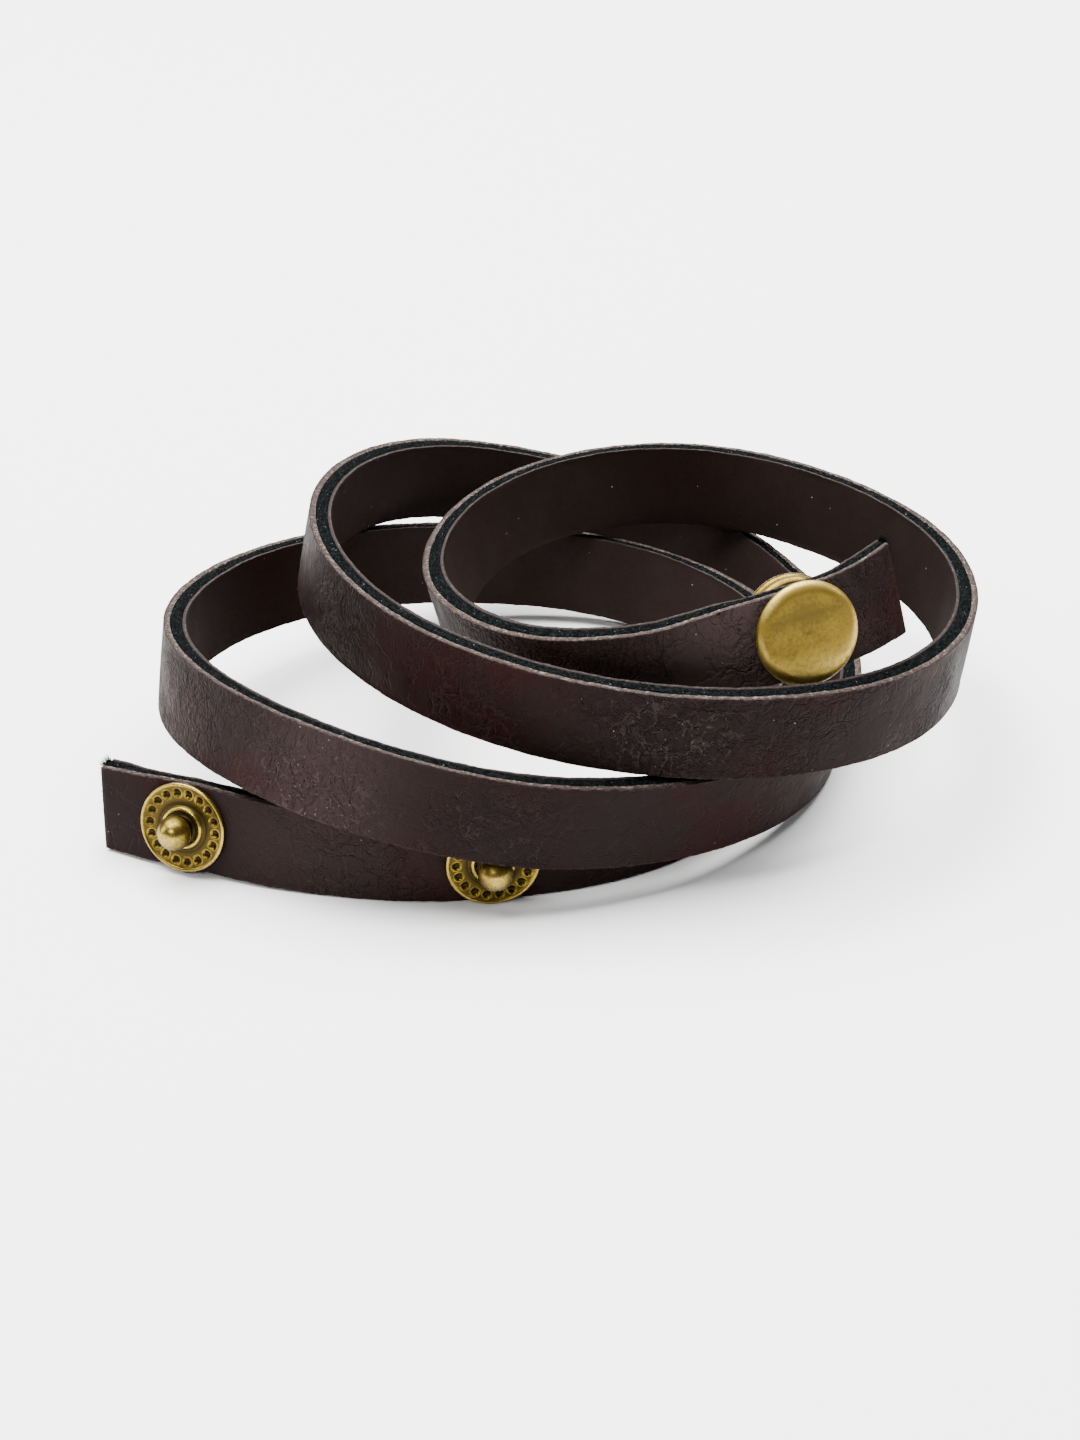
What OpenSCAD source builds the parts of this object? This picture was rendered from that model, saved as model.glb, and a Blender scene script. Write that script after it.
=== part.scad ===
// Wrap bracelet: one long leather strap lying in loose turns, standing on its edge,
// with a snap at one end (cap outside, socket inside) and two studs near the other end.
// X runs to the right, Y away from the front, Z up from the surface that it lies on.

/* [Strap] */
// Width of the strap, from edge to edge
strap_w = 11; // [10:0.5:11.5]
// Thickness of the outer leather
outer_t = 0.85; // [0.6:0.05:1]
// Thickness of the black fibre core
core_t = 1.45; // [1:0.05:1.6]
// Thickness of the lining leather
lining_t = 0.5; // [0.4:0.05:0.7]
// Gap that keeps two layers apart
layer_gap = 0.05; // [0.02:0.01:0.1]
// Share of the core's thickness that a fitting presses away
pinch = 0.4; // [0:0.05:0.5]
// Distance from a fitting's middle at which the pinch starts to fade
pinch_flat = 5.4; // [4:0.1:6]
// Distance over which it fades
pinch_fade = 4; // [3:0.5:6]
// Distance that the snap end's lower corner is cut back, which makes its cut skewed
end_skew = 3; // [0:0.2:3.4]
// Longest step between two sections of the strap
section_step = 4; // [3:0.5:8]

/* [Snap] */
// Distance of the snap from the middle of the width, towards the upper edge
snap_up = 0; // [-0.4:0.1:0.8]
// Diameter of the cap
cap_d = 12.8; // [11:0.1:13]
// Height of the cap above the leather
cap_h = 1.9; // [1.6:0.1:2.4]
// Radius of the cap's rolled edge
cap_edge_r = 0.8; // [0.5:0.1:1]
// Rise of the cap's crown in its middle
cap_crown = 0.3; // [0.2:0.05:0.6]
// Diameter of the socket
socket_d = 12; // [9.5:0.1:12.4]
// Height of the socket
socket_h = 3; // [2.6:0.1:3.6]
// Diameter of the hole that takes a stud's head
socket_bore_d = 4.4; // [4.3:0.05:4.6]
// Depth of that hole
socket_bore_h = 2.4; // [2:0.1:2.4]

/* [Studs] */
// Diameter of a stud's plate
plate_d = 11.2; // [10:0.1:11.4]
// Thickness of a stud's plate
plate_t = 0.55; // [0.5:0.05:0.8]
// Diameter of a stud's head
head_d = 4.1; // [3.6:0.1:4.1]
// Height of the middle of the head above the leather
head_z = 2.7; // [2.4:0.1:3]
// Diameter of the raised ring round the neck
ring_d = 5.4; // [5:0.1:5.8]
// Number of dimples in a plate
dimple_n = 18; // [12:1:20]
// Diameter of the circle that the dimples stand on
dimple_ring_d = 8.7; // [8.4:0.1:8.8]
// Diameter of the domed back of a stud
back_d = 10.2; // [8:0.1:10.2]
// Height of that back
back_h = 1.1; // [0.9:0.1:1.4]

/* [Hidden] */
$fn = 64;

// Route of the strap's outer face, from the stud end to the snap end.
// Columns: x, y, lift of the lower edge above the surface, lean of the upper edge
// towards the inside of the turn. The rows steer a smooth curve and lie closer
// together near both ends, where the fittings are.
ROUTE = [
    // stud end and first front, flat on the surface
    [-71, -21.5, 0, -10],
    [-51, -34.5, 0, 4],
    [-41.5, -37.5, 0, 12],
    [-32, -42.5, 0, 4],
    [-18.5, -45.5, 0, -3],
    [-10.5, -46, 0, -3],
    [13, -42, 0, -2],
    // first right side and back
    [32.5, -21, 0, -3],
    [36, 9.5, 0, -10],
    [10.5, 39, 0, -15],
    [-36.5, 27, 5.5, -6],
    // first left side, rising over the stud end
    [-53.5, -16.5, 11.5, 6],
    [-32.5, -46.5, 13.2, 17],
    // second front, right side and back
    [-1, -52.5, 6.5, 0],
    [28, -39.5, 3, -13],
    [43.5, -10, 0, -13],
    [35, 27.5, 0, -21],
    [13.5, 50, 3.5, -7],
    // second left side, front, right side and back
    [-21.5, 40.5, 14.5, 11],
    [-34.5, 2.5, 20, 12],
    [-21.5, -35, 20.5, 3],
    [12, -49, 16.5, -2],
    [45, -36, 12.5, -9],
    [57.5, -8, 11, -7],
    [50.5, 20.5, 12, -10],
    [20, 41.5, 13.5, -3],
    [-9.5, 27, 12.5, -10],
    // innermost left side and the free snap end
    [-16, -5, 13, -18],
    [-7, -32.5, 19, -13],
    [2.5, -38, 20, -8],
    [12, -39, 21, -3],
    [19.5, -37, 22, 5],
    [29, -34, 23.5, 11],
    [37, -31, 24.5, 14],
    [43, -28, 27.2, 14],
    [51, -23, 31.5, 13]
];

// Places of the fittings along the route, counted in rows
stud_1_at = 0.91;
stud_2_at = 4.14;
snap_at = 31.25;

// Middle of the turns on the surface, in the route's own x and y: it becomes the origin
centre = [1.05, -2.2];

strap_t = outer_t + core_t + lining_t + 2 * layer_gap;
pressed_t = strap_t - pinch * core_t;
spans = len(ROUTE) - 3;

// Fittings: clearances, shank and hole
seat_out = 0.25;
seat_in = 0.35;
shank_d = 2.6;
hole_d = 3.2;
shank_gap = 0.05;
shank_end = -pressed_t - seat_in + shank_gap;

// Weights of the four rows round a place t between two of them
function weights(t) =
    [(1 - t) ^ 3, 3 * t ^ 3 - 6 * t ^ 2 + 4, -3 * t ^ 3 + 3 * t ^ 2 + 3 * t + 1, t ^ 3] / 6;

// Smoothed row at place v, where v runs from 0 to spans
function row_at(v) =
    let (i = max(0, min(floor(v), spans - 1)))
    weights(v - i) * [for (k = [0:3]) ROUTE[i + k]];

// Middle of the outer face at place v, high enough for the lowest edge to sit at the lift
function middle_at(v) =
    let (row = row_at(v), lean = row[3])
    [row.x - centre.x, row.y - centre.y,
     row.z + strap_w / 2 * cos(lean) + max(0, strap_t * sin(lean))];

// Heading and pitch of the route at place v
function along_at(v) =
    let (d = middle_at(v + 0.01) - middle_at(v - 0.01))
    d / norm(d);
function heading_at(v) = let (d = along_at(v)) atan2(d.y, d.x);
function pitch_at(v) = asin(along_at(v).z);

// Directions out of the outer face, and up along the width, at place v
function out_at(v) =
    let (h = heading_at(v), lean = row_at(v)[3], level = [sin(h), -cos(h), 0])
    cos(lean) * level + sin(lean) * cross(level, along_at(v));
function up_at(v) = cross(out_at(v), along_at(v));

// Places of the sections: each span is cut into even steps no longer than section_step
STATIONS = [
    for (i = [0:spans - 1])
        let (n = max(2, ceil(norm(middle_at(i + 1) - middle_at(i)) / section_step)))
        for (k = [0:n - 1]) i + k / n,
    spans
];

// Falls smoothly from 1 to 0 as t goes from 0 to 1
function fade(t) = (1 - t) ^ 2 * (1 + 2 * t);

// Thickness of the core at place v: full, or pressed together near a fitting
function core_at(v) =
    let (m = middle_at(v),
         press = max([for (at = [stud_1_at, stud_2_at, snap_at])
             let (away = abs(v - at) < 3 ? norm(middle_at(at) - m) : strap_w * 2)
             fade(max(0, min(1, (away - pinch_flat) / pinch_fade)))]))
    core_t * (1 - pinch * press);

// Depths of the two faces of a layer at place v: 0 is the outer leather, 1 the core, 2 the lining
function faces_of(k, v) =
    let (core_near = outer_t + layer_gap, lining_near = core_near + core_at(v) + layer_gap)
    [[0, outer_t], [core_near, lining_near - layer_gap], [lining_near, lining_near + lining_t]][k];

// Four corners of a layer's section at place v
function section(k, v) =
    let (m = middle_at(v), out = out_at(v), up = up_at(v) * strap_w / 2,
         near = faces_of(k, v)[0], far = faces_of(k, v)[1],
         down = (v == spans) ? -up - end_skew * along_at(v) : -up)
    [m - near * out + down, m - near * out + up, m - far * out + up, m - far * out + down];

// One layer of the strap, swept through all sections
module layer(k) {
    sections = [for (v = STATIONS) section(k, v)];
    last = 4 * (len(sections) - 1);
    // The inner and outer faces are split along the same diagonal, so layers lie parallel
    sides = [
        for (s = [0:4:last - 4], side = [0:3])
            let (a = s + side, b = s + (side + 1) % 4)
            each (side == 2) ? [[a, b, a + 4], [b, b + 4, a + 4]] : [[a, b, b + 4], [a, b + 4, a + 4]]
    ];
    polyhedron(
        points = [for (s = sections) each s],
        faces = concat([[3, 2, 1, 0]], sides, [[last, last + 1, last + 2, last + 3]])
    );
}

// Puts a fitting on the strap: X along it, Y up its width, Z out of its outer face
module on_strap(v, up = 0) {
    translate(middle_at(v) + up * up_at(v))
        rotate([90 - row_at(v)[3], -pitch_at(v), heading_at(v)])
            children();
}

// A strap layer with the holes for the three shanks
module holed_layer(k) {
    difference() {
        layer(k);
        for (place = [[stud_1_at, 0], [stud_2_at, 0], [snap_at, snap_up]])
            on_strap(place[0], place[1])
                translate([0, 0, -strap_t - 1])
                    cylinder(d = hole_d, h = strap_t + 2);
    }
}

// A disc with a rolled upper edge, standing on Z = 0
module rolled_disc(d, h, r) {
    cylinder(d = d, h = h - r);
    translate([0, 0, h - r])
        rotate_extrude()
            translate([d / 2 - r, 0])
                circle(r = r);
    cylinder(d = d - 2 * r, h = h);
}

// A low round dome of diameter d and rise h, standing on Z = 0
module dome(d, h) {
    r = (d * d / 4 + h * h) / (2 * h);
    intersection() {
        translate([0, 0, h - r])
            sphere(r = r, $fn = 180);
        cylinder(d = d, h = h, $fn = 96);
    }
}

// Cap of the snap with its shank, which reaches down to the socket
module cap() {
    rim_h = cap_h - cap_crown;
    translate([0, 0, seat_out]) {
        rolled_disc(cap_d, rim_h, cap_edge_r);
        translate([0, 0, rim_h])
            dome(cap_d - 2 * cap_edge_r, cap_crown);
    }
    translate([0, 0, shank_end])
        cylinder(d = shank_d, h = seat_out + 0.5 - shank_end);
}

// Socket of the snap, with its mouth pointing away from the strap
module socket() {
    base_t = socket_h - socket_bore_h;
    mouth_d = socket_d - 2;
    mouth_h = 0.7;
    difference() {
        rolled_disc(socket_d, socket_h, 0.5);
        translate([0, 0, base_t])
            cylinder(d = socket_bore_d, h = socket_h);
        translate([0, 0, socket_h - mouth_h])
            cylinder(d1 = mouth_d - 1.4, d2 = mouth_d, h = mouth_h + 0.01);
    }
}

// Stud: dimpled plate, raised ring, neck and round head, with its shank
module stud() {
    rim_w = 0.3;
    rim_h = 0.15;
    neck_d = 2.9;
    dimple_r = 0.5;
    land_h = 0.8;
    translate([0, 0, seat_out]) {
        difference() {
            union() {
                cylinder(d = plate_d, h = plate_t);
                difference() {
                    cylinder(d = plate_d, h = plate_t + rim_h);
                    cylinder(d = plate_d - 2 * rim_w, h = 2 * plate_t);
                }
                difference() {
                    cylinder(d = ring_d, h = plate_t + 0.35);
                    translate([0, 0, plate_t])
                        cylinder(d = ring_d - 0.8, h = 1);
                }
            }
            for (i = [0:dimple_n - 1])
                rotate([0, 0, i * 360 / dimple_n])
                    translate([dimple_ring_d / 2, 0, plate_t + dimple_r / 2])
                        sphere(r = dimple_r * 1.1, $fn = 24);
        }
        cylinder(d = neck_d, h = head_z);
    }
    translate([0, 0, head_z])
        sphere(d = head_d);
    translate([0, 0, head_z - land_h / 2])
        cylinder(d = head_d, h = land_h);
    translate([0, 0, shank_end])
        cylinder(d = shank_d, h = seat_out + 0.2 - shank_end);
}

// Domed back of a stud, on the lining side
module stud_back() {
    rim_h = 0.3;
    cylinder(d = back_d, h = rim_h);
    translate([0, 0, rim_h])
        dome(back_d, back_h - rim_h);
}

// Turns a fitting to the lining side, seated on it
module behind_strap() {
    translate([0, 0, -pressed_t - seat_in])
        rotate([180, 0, 0])
            children();
}

module strap_outer() {
    color("#452a26") holed_layer(0);
}

module strap_core() {
    color("#1b2224") holed_layer(1);
}

module strap_lining() {
    color("#3b2926") holed_layer(2);
}

module snap_cap() {
    color("#a8862e") on_strap(snap_at, snap_up) cap();
}

module snap_socket() {
    color("#a8862e") on_strap(snap_at, snap_up) behind_strap() socket();
}

module stud_1() {
    color("#96782b") on_strap(stud_1_at) stud();
}

module stud_1_back() {
    color("#5d4c26") on_strap(stud_1_at) behind_strap() stud_back();
}

module stud_2() {
    color("#96782b") on_strap(stud_2_at) stud();
}

module stud_2_back() {
    color("#5d4c26") on_strap(stud_2_at) behind_strap() stud_back();
}

strap_outer();
strap_core();
strap_lining();
snap_cap();
snap_socket();
stud_1();
stud_1_back();
stud_2();
stud_2_back();
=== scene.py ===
"""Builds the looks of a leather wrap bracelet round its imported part.

The strap is swept again along the route of the part, layer by layer, with cut edges, loose
fibres and a crackled face. The snap and the studs are turned and pressed from profiles.
Sizes are in millimetres. The lights, the shaders and the finished meshes are in metres.
"""

import math

import bpy
import numpy as np
from bpy.props import FloatProperty, FloatVectorProperty, IntProperty, PointerProperty
from mathutils import Matrix, Vector


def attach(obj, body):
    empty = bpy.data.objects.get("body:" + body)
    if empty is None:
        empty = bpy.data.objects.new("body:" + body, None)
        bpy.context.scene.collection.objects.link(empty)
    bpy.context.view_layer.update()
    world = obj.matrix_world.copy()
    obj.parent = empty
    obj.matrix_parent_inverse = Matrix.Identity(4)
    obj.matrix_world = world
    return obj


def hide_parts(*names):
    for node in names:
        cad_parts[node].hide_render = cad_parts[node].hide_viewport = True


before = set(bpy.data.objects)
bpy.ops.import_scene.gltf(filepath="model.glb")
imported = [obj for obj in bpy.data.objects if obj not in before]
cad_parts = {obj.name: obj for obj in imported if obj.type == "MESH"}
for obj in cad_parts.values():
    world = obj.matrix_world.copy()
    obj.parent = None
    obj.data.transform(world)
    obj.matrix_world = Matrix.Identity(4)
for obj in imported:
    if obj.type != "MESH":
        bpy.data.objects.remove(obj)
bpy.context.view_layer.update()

bl_info = {
    "name": "Leather wrap bracelet",
    "version": (1, 0, 0),
    "blender": (4, 5, 0),
    "location": "3D View > Sidebar > Bracelet",
    "description": "Builds a leather wrap bracelet with a snap and two studs",
    "category": "Add Mesh",
}

MM = 0.001
BODY = "root"

# Route of the strap's outer face, from the stud end to the snap end, as in the part.
# Columns: x, y, lift of the lower edge, lean of the upper edge towards the inside of the turn
ROUTE = [
    (-71, -21.5, 0, -10),
    (-51, -34.5, 0, 4),
    (-41.5, -37.5, 0, 12),
    (-32, -42.5, 0, 4),
    (-18.5, -45.5, 0, -3),
    (-10.5, -46, 0, -3),
    (13, -42, 0, -2),
    (32.5, -21, 0, -3),
    (36, 9.5, 0, -10),
    (10.5, 39, 0, -15),
    (-36.5, 27, 5.5, -6),
    (-53.5, -16.5, 11.5, 6),
    (-32.5, -46.5, 13.2, 17),
    (-1, -52.5, 6.5, 0),
    (28, -39.5, 3, -13),
    (43.5, -10, 0, -13),
    (35, 27.5, 0, -21),
    (13.5, 50, 3.5, -7),
    (-21.5, 40.5, 14.5, 11),
    (-34.5, 2.5, 20, 12),
    (-21.5, -35, 20.5, 3),
    (12, -49, 16.5, -2),
    (45, -36, 12.5, -9),
    (57.5, -8, 11, -7),
    (50.5, 20.5, 12, -10),
    (20, 41.5, 13.5, -3),
    (-9.5, 27, 12.5, -10),
    (-16, -5, 13, -18),
    (-7, -32.5, 19, -13),
    (2.5, -38, 20, -8),
    (12, -39, 21, -3),
    (19.5, -37, 22, 5),
    (29, -34, 23.5, 11),
    (37, -31, 24.5, 14),
    (43, -28, 27.2, 14),
    (51, -23, 31.5, 13),
]
CENTRE = (1.05, -2.2)
SPANS = len(ROUTE) - 3

# Places of the fittings along the route, and the reach of one turn round a fitting, in rows
STUD_1_AT = 0.91
STUD_2_AT = 4.14
SNAP_AT = 31.25
SAME_TURN = 3

# Shift of both snap pieces outwards, and of each back piece off the lining
SEAT_OUT = 0.15
SEAT_IN = 0.2

# Snap end: how much shorter its lower edge is, and the stretch over which the skew grows
END_SKEW = 3.0
SKEW_REACH = 6.0

# Steps in rows over which a direction and a bend are measured, and measuring steps for each row
TANGENT_STEP = 0.01
BEND_STEP = 0.05
LENGTH_STEPS = 120

# Curvature in 1/mm where the bend wrinkles start, and the rise that brings them to full strength
WRINKLE_START = 0.02
WRINKLE_RISE = 0.035

# Shift of the end faces' surface coordinates, which are in mm from the strap's middle
END_COORDS = 3

# Waves that make an edge or a face uneven. Columns: length of the wave, height
EDGE_WAVES = [(31, 0.03), (13, 0.02), (5.3, 0.02), (2.1, 0.015), (1.1, 0.015)]
FACE_WAVES = [(47, 0.05), (19, 0.035), (9, 0.015)]
WAVE_TURN = 6.283

# Leather layers: points across a face, its margin, waves and crown, the rough cut edge, and the
# rubbed rim with the stretch over which it fades
OUTER_FACE_POINTS = 23
LINING_FACE_POINTS = 15
FACE_MARGIN = 0.14
FACE_WAVE_SHARE = 0.6
FACE_WAVE_TOP = 0.05
FACE_CROWN = 0.05
EDGE_INSET = 0.09
EDGE_ROUGH = 0.012
RIM_WIDTH = 0.75
RIM_FADE = 0.7

# Felt core: points across its cut edge, how far it stands in from the leather's, swells and varies
CORE_SEED = 11
CORE_EDGE_POINTS = 11
CORE_INSET = 0.06
CORE_SWELL = 0.09
CORE_ROUGH = 0.045
CORE_END_ROUGH = 0.25

# Loose fibres: share on the upper edge, share of an end's fibres in the tuft at its upper corner,
# how much longer they are at the ends, and their lowest point above the floor
UPPER_SHARE = 0.72
TUFT_SHARE = 0.55
END_LENGTH = 3.6
FIBRE_FLOOR = 0.02

# Profiles of the turned pieces, in the strap's frame with Z out of the leather.
# Columns: radius, height, wear from 0 in the hollows to 1 on the high edges
CAP_PROFILE = [
    (0, 1.9, 0.55),
    (2.0, 1.88, 0.5),
    (3.8, 1.81, 0.5),
    (4.9, 1.72, 0.55),
    (5.5, 1.6, 0.7),
    (5.95, 1.4, 0.95),
    (6.25, 1.12, 1),
    (6.38, 0.8, 0.8),
    (6.32, 0.48, 0.4),
    (6.1, 0.24, 0.1),
    (5.7, 0.1, 0),
    (5.0, 0.06, 0),
]
SOCKET_PROFILE = [
    (0, 0.6, 0),
    (1.8, 0.6, 0),
    (2.2, 0.75, 0),
    (2.2, 2.2, 0.1),
    (2.32, 2.36, 0.9),
    (2.6, 2.4, 0.8),
    (3.1, 2.2, 0.2),
    (3.8, 2.2, 0.2),
    (4.3, 2.5, 0.6),
    (4.75, 2.88, 0.9),
    (5.15, 3.0, 1),
    (5.5, 2.93, 1),
    (5.82, 2.65, 0.9),
    (5.98, 2.25, 0.7),
    (5.95, 1.85, 0.4),
    (5.78, 1.5, 0.25),
    (5.86, 1.15, 0.6),
    (5.95, 0.8, 0.9),
    (5.86, 0.4, 0.5),
    (5.55, 0.05, 0.1),
    (5.2, -0.1, 0),
]
BACK_PROFILE = [
    (0, 1.1, 0.5),
    (1.9, 1.04, 0.4),
    (3.4, 0.86, 0.4),
    (4.4, 0.62, 0.5),
    (4.95, 0.44, 0.9),
    (5.26, 0.2, 0.7),
    (5.18, -0.05, 0.1),
    (4.8, -0.2, 0),
]
STUD_PROFILE = [
    (0, 4.8, 0.9),
    (0.7, 4.68, 0.85),
    (1.3, 4.35, 0.75),
    (1.78, 3.82, 0.65),
    (2.04, 3.2, 0.6),
    (2.1, 2.7, 0.55),
    (1.98, 2.2, 0.3),
    (1.7, 1.86, 0.05),
    (1.5, 1.4, 0),
    (1.5, 1.0, 0),
    (1.75, 0.8, 0),
    (2.0, 0.86, 0.4),
    (2.2, 1.06, 0.9),
    (2.42, 1.12, 1),
    (2.62, 1.0, 0.8),
    (2.75, 0.78, 0.15),
    (3.0, 0.66, 0.1),
    (3.5, 0.66, 0.24),
    (4.35, 0.72, 0.27),
    (5.05, 0.78, 0.3),
    (5.25, 0.9, 0.9),
    (5.42, 0.94, 1),
    (5.56, 0.84, 1),
    (5.6, 0.6, 0.6),
    (5.54, 0.3, 0.1),
    (5.4, 0.1, 0),
    (5.1, 0.04, 0),
]

# Ring of dimples with raised lips in a stud's plate, and the part of the profile that is plate
DIMPLES = 18
DIMPLE_RING_R = 4.35
DIMPLE_R = 0.52
DIMPLE_DEPTH = 0.34
LIP_HEIGHT = 0.05
PLATE_TOP = 0.95
PLATE_INNER_R = 3

# Lip and dark inside of a dimple, in shares of its radius, and what they change in the wear
LIP_AT = 1.12
LIP_WIDTH = 0.16
RUB_WIDTH = 0.14
DARK_R = 0.75
DARK_FADE = 0.35
LIP_WEAR = 0.6
DARK_WEAR = -0.9
PLATE_WEAR = -0.12

# The cap's face: its shallow hollow, and painted reflections: a dark band across its upper third and a
# bright lower half
CAP_FACE_ABOVE = 1
CAP_HOLLOW = 0.22
CAP_HOLLOW_R = 5.2
CAP_BAND_AT = 2.4
CAP_BAND_WIDTH = 1.5
CAP_DARK_REFLECTION = -0.33
CAP_LOW_FADE = 4
CAP_BRIGHT_REFLECTION = 0.36

# Fineness of the turned pieces: steps between two rows of the profile, and points around
CAP_STEPS = (6, 160)
SOCKET_STEPS = (5, 128)
STUD_STEPS = (5, DIMPLES * 14)
BACK_STEPS = (5, 96)

# Crackled patches of the outer face. Columns: place in rows, height across the width, radius, strength
PATCHES = [
    (11.15, -3.0, 8, 1.0),
    (11.9, 1.0, 7, 0.4),
    (20.1, -1.0, 9, 1.0),
    (18.7, 2.0, 6, 0.5),
    (22.6, 0.0, 9, 0.35),
    (2.6, -2.0, 8, 0.3),
    (31.0, 0.0, 6, 0.3),
]

# Painted light and shade on the leather. Columns: place in rows, radius, from -1 for darker to 1 for
# lighter
PAINTED_LIGHT_AND_SHADE = [
    (2.6, 14, 0.25),
    (9.3, 14, -0.5),
    (11.2, 9, 0.5),
    (13.2, 9, -0.25),
    (18.6, 15, -1.0),
    (20.4, 9, -0.3),
    (24.0, 12, -0.3),
    (30.6, 12, 1.0),
    (33.0, 8, -0.3),
]

# Leather, felt, metal, dust and floor colours
BROWN = (0.0098, 0.0054, 0.0052, 1)
RED_BROWN = (0.0140, 0.0042, 0.0034, 1)
GREY_BROWN = (0.0115, 0.0085, 0.0083, 1)
# Painted light and painted shade on the leather
PAINTED_LIGHT_BROWN = (0.036, 0.024, 0.023, 1)
PAINTED_SHADE_BROWN = (0.0050, 0.0016, 0.0013, 1)
# Pale colour of worn crackle lines, which also stands for a painted highlight on their edges, and of
# rubbed rims
PALE_WEAR_AND_HIGHLIGHT = (0.080, 0.060, 0.056, 1)
ABRADED = (0.20, 0.16, 0.15, 1)
LINING_BROWN = (0.0105, 0.0066, 0.0058, 1)
LINING_LIGHT = (0.0140, 0.0095, 0.0088, 1)
CUT_PALE = (0.150, 0.120, 0.103, 1)
CUT_DARK = (0.012, 0.0068, 0.0060, 1)
CUT_GREY = (0.058, 0.054, 0.051, 1)
FELT = (0.0003, 0.0005, 0.0006, 1)
FELT_LIGHT = (0.010, 0.013, 0.014, 1)
LINT = (0.030, 0.036, 0.037, 1)
BRASS = (0.180, 0.118, 0.018, 1)
BRASS_BRIGHT = (0.50, 0.37, 0.095, 1)
BRASS_DARK = (0.066, 0.045, 0.0085, 1)
BRASS_BLACK = (0.010, 0.007, 0.003, 1)
DUST = (0.30, 0.28, 0.27, 1)
FELT_DUST = (0.16, 0.18, 0.19, 1)
PAPER = (0.80, 0.80, 0.80, 1)
PAPER_SHADE = (0.78, 0.78, 0.785, 1)

# Soft lights and the point they aim at. Columns: name, place in m, size in m, power in W, colour
LIGHTS = [
    ("light_top", (-0.1, 0.25, 1.1), (1.6, 1.2), 125, (1.0, 0.99, 0.98)),
    ("light_left", (-0.95, -0.05, 0.42), (0.45, 0.6), 5, (0.97, 0.985, 1.0)),
    ("light_right", (0.95, 0.10, 0.40), (0.4, 0.6), 4, (0.96, 0.98, 1.0)),
    ("light_front", (-0.45, -1.1, 0.95), (0.5, 0.3), 9, (1.0, 0.99, 0.97)),
]
LIGHT_AIM = (0, 0, 0.015)
SKY = (0.93, 0.95, 1.0, 1)
SKY_STRENGTH = 0.1

# Drop of the floor under the object and range of the camera's view, in m
FLOOR_DROP = 0.0001
VIEW_RANGE = (0.01, 50)


class StrapSettings(bpy.types.PropertyGroup):
    """Sizes of the strap and its layers."""

    width: FloatProperty(
        name="Width", description="Strap from edge to edge, in mm", default=11, min=8, max=14,
    )
    outer: FloatProperty(
        name="Outer leather", description="Thickness in mm", default=0.85, min=0.4, max=1.5,
    )
    core: FloatProperty(
        name="Felt core", description="Thickness in mm", default=1.45, min=0.5, max=2.5,
    )
    lining: FloatProperty(
        name="Lining", description="Thickness in mm", default=0.5, min=0.3, max=1,
    )
    gap: FloatProperty(
        name="Gap", description="Gap between two layers, in mm", default=0.05, min=0.01, max=0.1,
    )
    pinch: FloatProperty(
        name="Pinch", description="Share of the core's thickness that a fitting presses away",
        default=0.4, min=0, max=0.6, subtype="FACTOR",
    )
    pinch_flat: FloatProperty(
        name="Pinch width", description="Distance from a fitting that stays pressed, in mm",
        default=5.4, min=3, max=8,
    )
    pinch_fade: FloatProperty(
        name="Pinch fade", description="Distance over which the pinch fades, in mm",
        default=4, min=2, max=8,
    )
    step: FloatProperty(
        name="Step", description="Distance between two sections, in mm",
        default=0.52, min=0.3, max=2,
    )
    core_step: FloatProperty(
        name="Core step", description="Distance between two sections of the core, in mm",
        default=0.34, min=0.3, max=2,
    )


class FibreSettings(bpy.types.PropertyGroup):
    """Loose fibres that stand out of the felt core's cut edges."""

    density: FloatProperty(
        name="Density", description="Fibres for each mm of strap", default=13, min=0, max=30,
    )
    length: FloatProperty(
        name="Length", description="Longest fibre along the edges, in mm", default=0.42, min=0.1, max=1,
    )
    radius: FloatProperty(
        name="Radius", description="Radius at the root, in mm", default=0.024, min=0.01, max=0.06,
    )
    end_fibres: IntProperty(
        name="End fibres", description="Longer fibres at each cut end", default=900, min=0, max=3000,
    )
    seed: IntProperty(
        name="Seed", description="Changes where the fibres stand", default=7, min=0,
    )


class ColourSettings(bpy.types.PropertyGroup):
    """Main colours of the leather, the felt and the brass. Their other shades are laid over them."""

    leather: FloatVectorProperty(
        name="Leather", description="Outer leather, apart from its faded and dark stretches",
        default=BROWN, size=4, min=0, max=1, subtype="COLOR",
    )
    lining: FloatVectorProperty(
        name="Lining", description="Leather on the inside of the strap",
        default=LINING_BROWN, size=4, min=0, max=1, subtype="COLOR",
    )
    felt: FloatVectorProperty(
        name="Felt", description="Felt core and its loose fibres",
        default=FELT, size=4, min=0, max=1, subtype="COLOR",
    )
    brass: FloatVectorProperty(
        name="Brass", description="Snap and studs, where no patina covers them",
        default=BRASS, size=4, min=0, max=1, subtype="COLOR",
    )


class StageSettings(bpy.types.PropertyGroup):
    """Camera and floor."""

    pitch: FloatProperty(
        name="Pitch", description="Camera's angle above the level, in degrees",
        default=28.34, min=5, max=60,
    )
    distance: FloatProperty(
        name="Distance", description="Camera's distance in mm", default=399, min=200, max=900,
    )
    lens: FloatProperty(
        name="Lens", description="Focal length in mm", default=76.05, min=30, max=200,
    )
    floor: FloatProperty(
        name="Floor", description="Width of the floor in m", default=6, min=1, max=20, unit="LENGTH",
    )


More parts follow.
